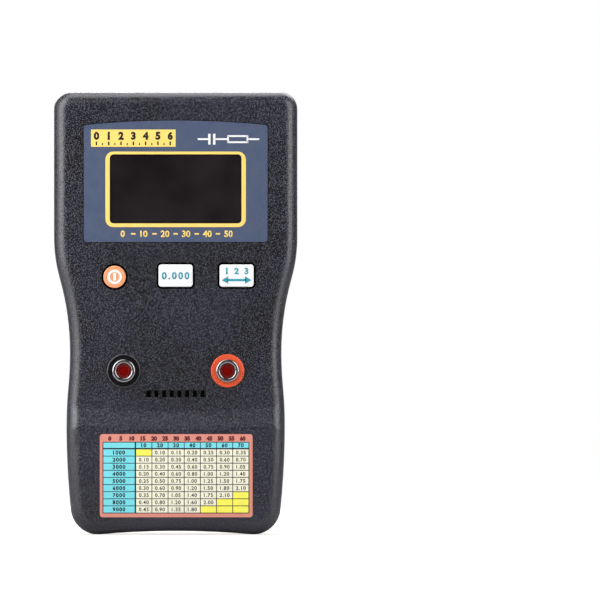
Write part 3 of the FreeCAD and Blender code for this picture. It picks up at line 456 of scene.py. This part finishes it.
capped_key("orange_key", tint(228, 150, 102), tint(240, 166, 120), "power_button")
capped_key("white_zero_key", tint(232, 234, 236), tint(242, 243, 245), "zero_button")
capped_key("white_mode_key", tint(232, 234, 236), tint(242, 243, 245), "mode_button")
teal_ink = printed_film("teal_ink", tint(58, 152, 170))

power = middle("power_button")
key_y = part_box("power_button")[0].y
raised = 0.08 * mm
ring_size = 5.9 * mm
power_ring = flat_ring(power.x, key_y, power.z, ring_size, ring_size, 1.0 * mm, raised)
power_bar = printed_patch(power.x, key_y, power.z, 1.15 * mm, 3.0 * mm, eased_corner, raised)
printed("power_key_mark", [power_ring, power_bar], white_ink, "power_key")

zero = middle("zero_button")
zero_figures = printed_figures("0.000", zero.x, key_y, zero.z, 3.0 * mm, 0.04, ink, 1.35)
printed("zero_key_mark", [zero_figures], teal_ink, "zero_key")

mode = middle("mode_button")
mode_pitch = 4.0 * mm
mode_number_z = mode.z + 1.9 * mm
arrow_z = mode.z - 1.8 * mm
arrow_reach = 4.3 * mm
arrow_size = 3.6 * mm
mode_marks = [printed_patch(mode.x, key_y, arrow_z, 7.6 * mm, 0.95 * mm, sharp_corner, ink)]
for number in (1, 2, 3):
    x = mode.x + (number - 2) * mode_pitch
    mode_marks.append(printed_figures(str(number), x, key_y, mode_number_z, 2.7 * mm, 0.05, ink))
for way in (-1, 1):
    flat_disc(mode.x + way * arrow_reach, key_y, arrow_z, 3, arrow_size, arrow_size, way * math.pi / 2)
    thicken(ink)
    mode_marks.append(bpy.context.object)
printed("mode_key_mark", mode_marks, teal_ink, "mode_key")


# The switches are square tactile ones soldered to the board, with black bases and round black plungers.
# They and the other small black mouldings on the board share one glass-filled nylon finish.
black_nylon = moulded_plastic(
    "black_nylon", tint(10, 10, 12), tint(22, 22, 25), 0.55, 0.3, 0.25 * mm, 0.02 * mm)
dress(black_nylon, "switch_bodies", "power_switch_plunger", "zero_switch_plunger", "mode_switch_plunger")
dress(black_nylon, "buzzer", "controller_chip", "analog_chips")


# The board is glass-fibre laminate under a green solder resist, held to posts of the front shell by screws.
# It carries the switches, the sounder, the chips, two canned capacitors and a crystal.
def plain_metal(name, deep, pale, roughness, grain):
    # Plated or rolled metal with fine scratches that vary its gloss
    material, shader, place = new_finish(name, roughness, 0.5)
    shader.inputs["Metallic"].default_value = 1.0
    scratches = noise(place, grain, 4.0).between(0.3, 0.7)
    feed(shader, "Base Color", scratches.blend(deep, pale))
    feed(shader, "Roughness", scratches * 0.14 + (roughness - 0.07))
    emboss(shader, scratches, 0.01 * mm, 0.2)
    return material


laminate, laminate_shader, laminate_place = new_finish("green_laminate", 0.35, 0.5)
threads = {"Vector": laminate_place, "Scale": 300.0, "Distortion": 1.5}
warp = laminate_place.node("ShaderNodeTexWave", {"bands_direction": "X"}, threads)
weft = laminate_place.node("ShaderNodeTexWave", {"bands_direction": "Z"}, threads)
cloth = warp * 0.5 + weft * 0.5
feed(laminate_shader, "Base Color", cloth.blend(tint(20, 74, 44), tint(32, 96, 58)))
emboss(laminate_shader, cloth, 0.03 * mm, 0.3)
dress(laminate, "main_board")
zinc = plain_metal("zinc_plate", tint(150, 150, 150), tint(190, 190, 188), 0.35, 0.4 * mm)
dress(zinc, "board_screws")
drawn_can = plain_metal("drawn_can", tint(176, 178, 182), tint(206, 208, 212), 0.32, 0.5 * mm)
dress(drawn_can, "capacitors", "crystal")


# Each test socket is a nickel-plated brass sleeve with a rounded head, clamped by a nut over a moulded
# collar: black for the negative one and red for the positive one. A cup of red nylon lines each plug
# hole, with a painted glow that gives the hole a dull red light, darker towards the sleeve as painted shade.
def from_axis(place, node):
    # Distance from the axis of a turned piece
    axis = middle(node)
    return from_line(place, axis.x, axis.z)


def turned_nickel(name, sleeve):
    # Bright plate whose gloss varies in fine lathe rings
    material, shader, place = new_finish(name, 0.16, 0.5)
    shader.inputs["Metallic"].default_value = 1.0
    radius = from_axis(place, sleeve)
    rings = noise(radius.node("ShaderNodeCombineXYZ", {}, {"X": radius}), 0.15 * mm, 2.0).between(0.3, 0.7)
    feed(shader, "Base Color", rings.blend(tint(160, 156, 158), tint(186, 183, 184)))
    feed(shader, "Roughness", rings * 0.08 + 0.12)
    dress(material, sleeve)


def clear_nylon(name, cup):
    # Painted glow, strong in the middle of the hole, with painted shade towards the wall of the sleeve
    material, shader, place = new_finish(name, 0.35, 0.4)
    shader.inputs["Emission Strength"].default_value = 1.0
    wall = from_axis(place, cup).between(1.4 * mm, 2.4 * mm)
    cloud = noise(place, 2 * mm, 2.0)
    feed(shader, "Base Color", cloud.blend(tint(84, 6, 4), tint(100, 10, 7)))
    feed(shader, "Emission Color", wall.blend(tint(112, 9, 6), tint(40, 3, 2)))
    dress(material, cup)


for sign in ("negative", "positive"):
    turned_nickel(f"{sign}_socket_nickel", f"{sign}_jack_sleeve")
    clear_nylon(f"{sign}_socket_nylon", f"{sign}_jack_liner")

black_collar, collar_shader, collar_place = new_finish("black_collar", 0.28, 0.4)
# Painted highlight: a pale ring on the rim of the collar, broken up by speckle
rim = from_axis(collar_place, "negative_jack_collar").between(6.4 * mm, 6.7 * mm)
speckle = noise(collar_place, 0.8 * mm, 2.0)
painted_rim_highlight = rim * (speckle * 0.4 + 0.7)
feed(collar_shader, "Base Color", painted_rim_highlight.blend(tint(10, 10, 12), tint(96, 94, 100)))
feed(collar_shader, "Roughness", speckle * 0.1 + 0.22)
dress(black_collar, "negative_jack_collar")
dress(smooth_gloss("red_collar", tint(222, 83, 48), tint(232, 97, 62), 0.3, 0.35), "positive_jack_collar")

nickel = plain_metal("nickel_plate", tint(186, 184, 180), tint(216, 214, 210), 0.28, 0.4 * mm)
dress(nickel, "jack_nuts")
tinned_brass = plain_metal("tinned_brass", tint(196, 194, 186), tint(220, 218, 210), 0.4, 0.3 * mm)
dress(tinned_brass, "jack_solder_tags")


# The rear shell is moulded in amber ABS, smoother than the front. Its back ramps down to the well of the
# stand, and it carries the hinge lugs, two round feet, the screw wells and the battery tub.
# The key pocket behind the stand is painted a deeper orange and given a painted glow, for the light that
# goes to and fro between its walls.
def amber_plastic(name, deep, pale):
    # The orange mouldings of the back share one fine texture and differ in shade
    return moulded_plastic(name, deep, pale, 0.38, 0.5, 0.5 * mm, 0.02 * mm)


amber = amber_plastic("amber_abs", tint(250, 162, 44), tint(254, 172, 58))
amber_shader, amber_place = pattern_of(amber)
amber_shader.inputs["Emission Strength"].default_value = 1.0
# Painted glow and painted deeper orange in the key pocket behind the stand
pocket_z = 75 * mm
near_pocket = 1.0 - from_line(amber_place, 0, pocket_z).between(6 * mm, 12 * mm)
below_back = 1.0 - amber_place.along(1).between(10 * mm, 13 * mm)
pocket = near_pocket * below_back
recolour(amber_shader, pocket, tint(246, 108, 8))
feed(amber_shader, "Emission Color", pocket.blend((0, 0, 0, 1), tint(124, 18, 0)))
dress(amber, "rear_shell")


# Four cross-head screws, blackened by oxide, draw the shells together from the bottom of deep wells.
# The battery door has one of its own, which shows through the lower end of the key slot.
def black_screw(name, node):
    # Black all over, with wear by the driver in its cross, which is also coloured pale as a painted
    # highlight of the glints there
    material, shader, place = new_finish(name, 0.35, 0.5)
    shader.inputs["Metallic"].default_value = 1.0
    head_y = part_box(node)[1].y
    cross = 1.0 - place.along(1).between(head_y - 0.4 * mm, head_y - 0.2 * mm)
    scratches = noise(place, 0.3 * mm, 4.0).between(0.3, 0.7)
    wear_and_glint = scratches.blend(tint(92, 88, 94), tint(140, 136, 142))
    feed(shader, "Base Color", cross.blend(tint(34, 30, 34), wear_and_glint))
    feed(shader, "Roughness", scratches * 0.14 + 0.28)
    dress(material, node)


black_screw("black_case_screw", "case_screws")
black_screw("black_door_screw", "battery_door_screw")


# Two dry cells lie in a tub behind the stand, between plated contacts and conical springs.
# Stranded leads in red and black sleeves run from the contacts to pads on the board.
jacket, jacket_shader, jacket_place = new_finish("cell_jacket", 0.35, 0.5)
band = jacket_place.along(0).between(9 * mm, 9.4 * mm)
scuffs = noise(jacket_place, 3 * mm, 4.0).between(0.4, 0.8)
two_tone = band.blend(tint(58, 62, 68), tint(186, 132, 82))
feed(jacket_shader, "Base Color", (scuffs * 0.15).blend(two_tone, tint(210, 210, 210)))
feed(jacket_shader, "Roughness", scuffs * 0.2 + 0.25)
dress(jacket, "lower_cell", "upper_cell")
dress(nickel, "battery_terminals", "battery_link_plate")
spring_steel = plain_metal("spring_steel", tint(150, 152, 156), tint(192, 194, 198), 0.3, 0.3 * mm)
dress(spring_steel, "battery_springs")
dress(smooth_gloss("red_sleeve", tint(170, 22, 18), tint(196, 30, 24), 0.4, 0.5), "positive_battery_lead")
dress(smooth_gloss("black_sleeve", tint(18, 18, 20), tint(30, 30, 32), 0.4, 0.5), "negative_battery_lead")


# The battery door lies flush in the floor of the stand's well and is coloured a deeper orange than the
# shell, as painted shade of the well. Two tabs hook its lower edge under the shell, and one screw holds its
# upper edge.
# A weak painted glow stands in for the light that goes to and fro in the well.
door_amber = amber_plastic("door_amber_abs", tint(240, 130, 28), tint(246, 142, 36))
door_shader = pattern_of(door_amber)[0]
# Painted glow of the door
door_shader.inputs["Emission Color"].default_value = tint(60, 8, 0)
door_shader.inputs["Emission Strength"].default_value = 1.0
dress(door_amber, "battery_door")


# The tilt stand is a ribbed panel, coloured a shade paler than the shell, that snaps its pins into the lugs.
# A double-ended key slot through its middle hangs the tester on a nail, and two round feet keep it steady.
pale_amber = amber_plastic("pale_amber_abs", tint(251, 172, 58), tint(254, 182, 72))
dress(pale_amber, "tilt_stand")


# The table is a vinyl label on the raised lower front: a salmon border round a ruled grid, with cyan heads
# along its top and its left side, cream cells of plain figures, and lemon cells where there is no value.
def table_print(name, parts, ink_name, shade):
    # One colour of the table
    return printed(name, parts, printed_film(ink_name, shade), "case")


label_low, label_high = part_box("table_label")
label = middle("table_label")
label_width = label_high.x - label_low.x
label_height = label_high.z - label_low.z
label_corner = 1.2 * mm

# Five layers fill the thickness of the label: two of backing, and one each of grid, cells and figures
layer = (label_high.y - label_low.y) / 5
backing_y = label_high.y - 2 * layer
grid_y = backing_y - layer
cell_y = grid_y - layer

backing = printed_patch(label.x, label_high.y, label.z, label_width, label_height, label_corner, 2 * layer)
backing = table_print("table_backing", [backing], "salmon_ink", tint(226, 146, 130))
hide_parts("table_label")

side_border = 1.3 * mm
title_height = 3.3 * mm
grid_left = label_low.x + side_border
grid_top = label_high.z - title_height
head_width = 13.3 * mm
head_height = 2.75 * mm
column_width = 6.57 * mm
row_height = 2.89 * mm
columns = 7
rows = 9
rule = 0.32 * mm
heavy_rule = 0.6 * mm
grid_width = head_width + columns * column_width
grid_height = head_height + rows * row_height
grid_x = grid_left + grid_width / 2
grid_z = grid_top - grid_height / 2
grid = printed_patch(grid_x, backing_y, grid_z, grid_width + rule, grid_height + rule, eased_corner, layer)
table_print("table_grid", [grid], "grid_ink", tint(30, 32, 52))

first_x = grid_left + head_width + column_width / 2
first_z = grid_top - head_height - row_height / 2
side_width = head_width - heavy_rule
top_height = head_height - heavy_rule
head_x = grid_left + (side_width + rule) / 2
head_z = grid_top - (top_height + rule) / 2
cell_width = column_width - rule
cell_height = row_height - rule
side_head = printed_patch(head_x, grid_y, first_z, side_width, cell_height, sharp_corner, layer)
top_head = printed_patch(first_x, grid_y, head_z, cell_width, top_height, sharp_corner, layer)
corner_head = printed_patch(head_x, grid_y, head_z, side_width, top_height, sharp_corner, layer)
heads = [side_head, top_head, corner_head]
heads += copies(side_head, [(0, -row * row_height) for row in range(1, rows)])
heads += copies(top_head, [(column * column_width, 0) for column in range(1, columns)])
table_print("table_heads", heads, "cyan_ink", tint(126, 226, 236))

head_figure = 1.7 * mm
cell_figure = 1.55 * mm
no_value = {(0, 0), (6, 6), (7, 5), (7, 6), (8, 4), (8, 5), (8, 6)}
blank_shifts = []
value_shifts = []
figures = []
for row in range(rows):
    z = first_z - row * row_height
    figures.append(printed_figures(f"{row + 1}000", head_x, cell_y, z, head_figure, 0.04, layer, 1.25))
    for column in range(columns):
        x = first_x + column * column_width
        if (row, column) in no_value:
            blank_shifts.append((x - first_x, z - first_z))
            continue
        value_shifts.append((x - first_x, z - first_z))
        # A made-up value that grows along the row and down the column
        value = (row + 1) * (column + 1) / 20
        figures.append(printed_figures(f"{value:.2f}", x, cell_y, z, cell_figure, 0.02, layer, 1.15))
for column in range(columns):
    x = first_x + column * column_width
    figures.append(printed_figures(f"{column + 1}0", x, cell_y, head_z, head_figure, 0.04, layer, 1.2))
blank = printed_patch(first_x, grid_y, first_z, cell_width, cell_height, sharp_corner, layer)
values = copies(blank, value_shifts)
blanks = [blank] + copies(blank, blank_shifts[1:])
table_print("table_cells", values, "cream_ink", tint(246, 242, 218))
table_print("table_blanks", blanks, "lemon_ink", tint(254, 247, 98))
table_print("table_figures", figures, "figure_ink", tint(20, 30, 34))

title_z = label_high.z - 1.75 * mm
title_pitch = 4.5 * mm
title_count = 13
first_title_x = label.x - (title_count - 1) / 2 * title_pitch
title = []
for step in range(title_count):
    x = first_title_x + step * title_pitch
    title.append(printed_figures(str(step * 5), x, backing_y, title_z, 1.9 * mm, 0.07, layer))
table_print("table_title_figures", title, "crimson_ink", tint(110, 16, 24))


# The inspection sticker is an oval of white paper on the back, printed with a teal line and a tick.
# It is stuck by hand a little above the hinge of the stand.
dress(printed_film("sticker_paper", tint(238, 241, 238), 0.6), "inspection_sticker")
sticker = middle("inspection_sticker")
sticker_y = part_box("inspection_sticker")[1].y
sticker_parts = [flat_ring(sticker.x, sticker_y, sticker.z, 14.2 * mm, 9.2 * mm, 0.3 * mm, -ink)]
tick_line = 0.7 * mm
tick_overlap = 0.5 * mm
tick_foot = Vector((0.9 * mm, 0, -1.7 * mm))
for tip in (Vector((2.5 * mm, 0, 0.2 * mm)), Vector((-2.7 * mm, 0, 2.2 * mm))):
    run = tip - tick_foot
    stroke = printed_patch(0, 0, 0, tick_line, run.length + tick_overlap, small_corner, -ink)
    stroke.rotation_euler = (0, math.atan2(run.x, run.z), 0)
    stroke.location = (tip + tick_foot) / 2 + Vector((sticker.x, sticker_y, sticker.z))
    choose(stroke)
    sticker_parts.append(settle("stroke"))
sticker_teal = printed_film("sticker_teal", tint(48, 120, 126), 0.5)
printed("sticker_print", sticker_parts, sticker_teal, "case")


# The studio is a pale floor under soft boxes. The camera sees white all round it, while mirrors see a pale
# far wall, dimmer sides and a dark side behind the camera.
# The camera looks level and straight at the front from afar, with the tester left of the middle.
scene = bpy.context.scene
scene.view_settings.view_transform = "Standard"

world = bpy.data.worlds.new("studio")
scene.world = world
world.use_nodes = True
background = world.node_tree.nodes["Background"]
background.inputs["Color"].default_value = (1, 1, 1, 1)
rays = world.node_tree.nodes.new("ShaderNodeLightPath")
camera_ray = Signal(rays.outputs["Is Camera Ray"])
mirror_ray = Signal(rays.outputs["Is Glossy Ray"]) + Signal(rays.outputs["Is Transmission Ray"])
direction = Signal(world.node_tree.nodes.new("ShaderNodeTexCoord").outputs["Generated"])
ahead = direction.along(1)
far_level = 0.76
side_level = 0.2
near_level = 0.04
mirror_level = ahead.between(0.75, 1.0) * far_level + ahead.between(-0.6, 0.1) * side_level + near_level
plain_level = 0.15
light_level = mirror_ray * (mirror_level - plain_level) + plain_level
feed(background, "Strength", camera_ray + (1.0 - camera_ray) * light_level)

bpy.ops.object.select_all(action="DESELECT")
bpy.ops.mesh.primitive_plane_add(size=6, location=(0, 0, 0))
floor = settle("floor")
floor_finish, floor_shader, floor_place = new_finish("pale_floor", 0.9, 0.0)
floor_shader.inputs["Base Color"].default_value = (0.5, 0.5, 0.5, 1)
floor_shader.inputs["Emission Strength"].default_value = 1.0
reach = floor_place.length()
seen = Signal(floor_finish.node_tree.nodes.new("ShaderNodeLightPath").outputs["Is Camera Ray"])
near_glow = 0.45
glow = seen * (reach.between(0.05, 0.3) * (1 - near_glow) + near_glow)
feed(floor_shader, "Emission Color", glow.blend((0, 0, 0, 1), (1, 1, 1, 1)))
floor.data.materials.append(floor_finish)


def soft_box(name, place, width, height, watts):
    # Lamp turned towards the middle of the tester
    bpy.ops.object.light_add(type="AREA", location=place)
    lamp = bpy.context.object
    lamp.name = name
    lamp.data.shape = "RECTANGLE"
    lamp.data.size = width
    lamp.data.size_y = height
    lamp.data.energy = watts
    tester_middle = Vector((0, 0, 90 * mm))
    aim = tester_middle - Vector(place)
    lamp.rotation_euler = aim.to_track_quat("-Z", "Y").to_euler()


# Five boxes light the front and its rims, and two light the back
soft_box("key_box", (-0.1, -0.5, 0.44), 0.3, 0.3, 0.1)
soft_box("left_box", (-0.28, -0.2, 0.22), 0.26, 0.36, 1.31)
soft_box("right_box", (0.3, -0.21, 0.22), 0.24, 0.38, 1.0)
soft_box("top_box", (-0.01, 0.012, 0.4), 0.78, 0.12, 0.95)
soft_box("side_box", (-0.33, -0.02, 0.16), 0.14, 0.3, 0.15)
soft_box("back_key_box", (0.35, 0.9, 1.0), 1.2, 0.9, 8)
soft_box("back_fill_box", (-0.3, 1.2, 0.7), 0.8, 0.6, 8)

distance = 10.0
view_x = 50.56 * mm
view_z = 95.3 * mm
view_width = 0.2443
sensor_width = 36
bpy.ops.object.camera_add(location=(view_x, -distance, view_z), rotation=(math.pi / 2, 0, 0))
camera = bpy.context.object
camera.data.sensor_width = sensor_width
camera.data.lens = sensor_width * distance / view_width
camera.data.clip_end = 50
scene.camera = camera
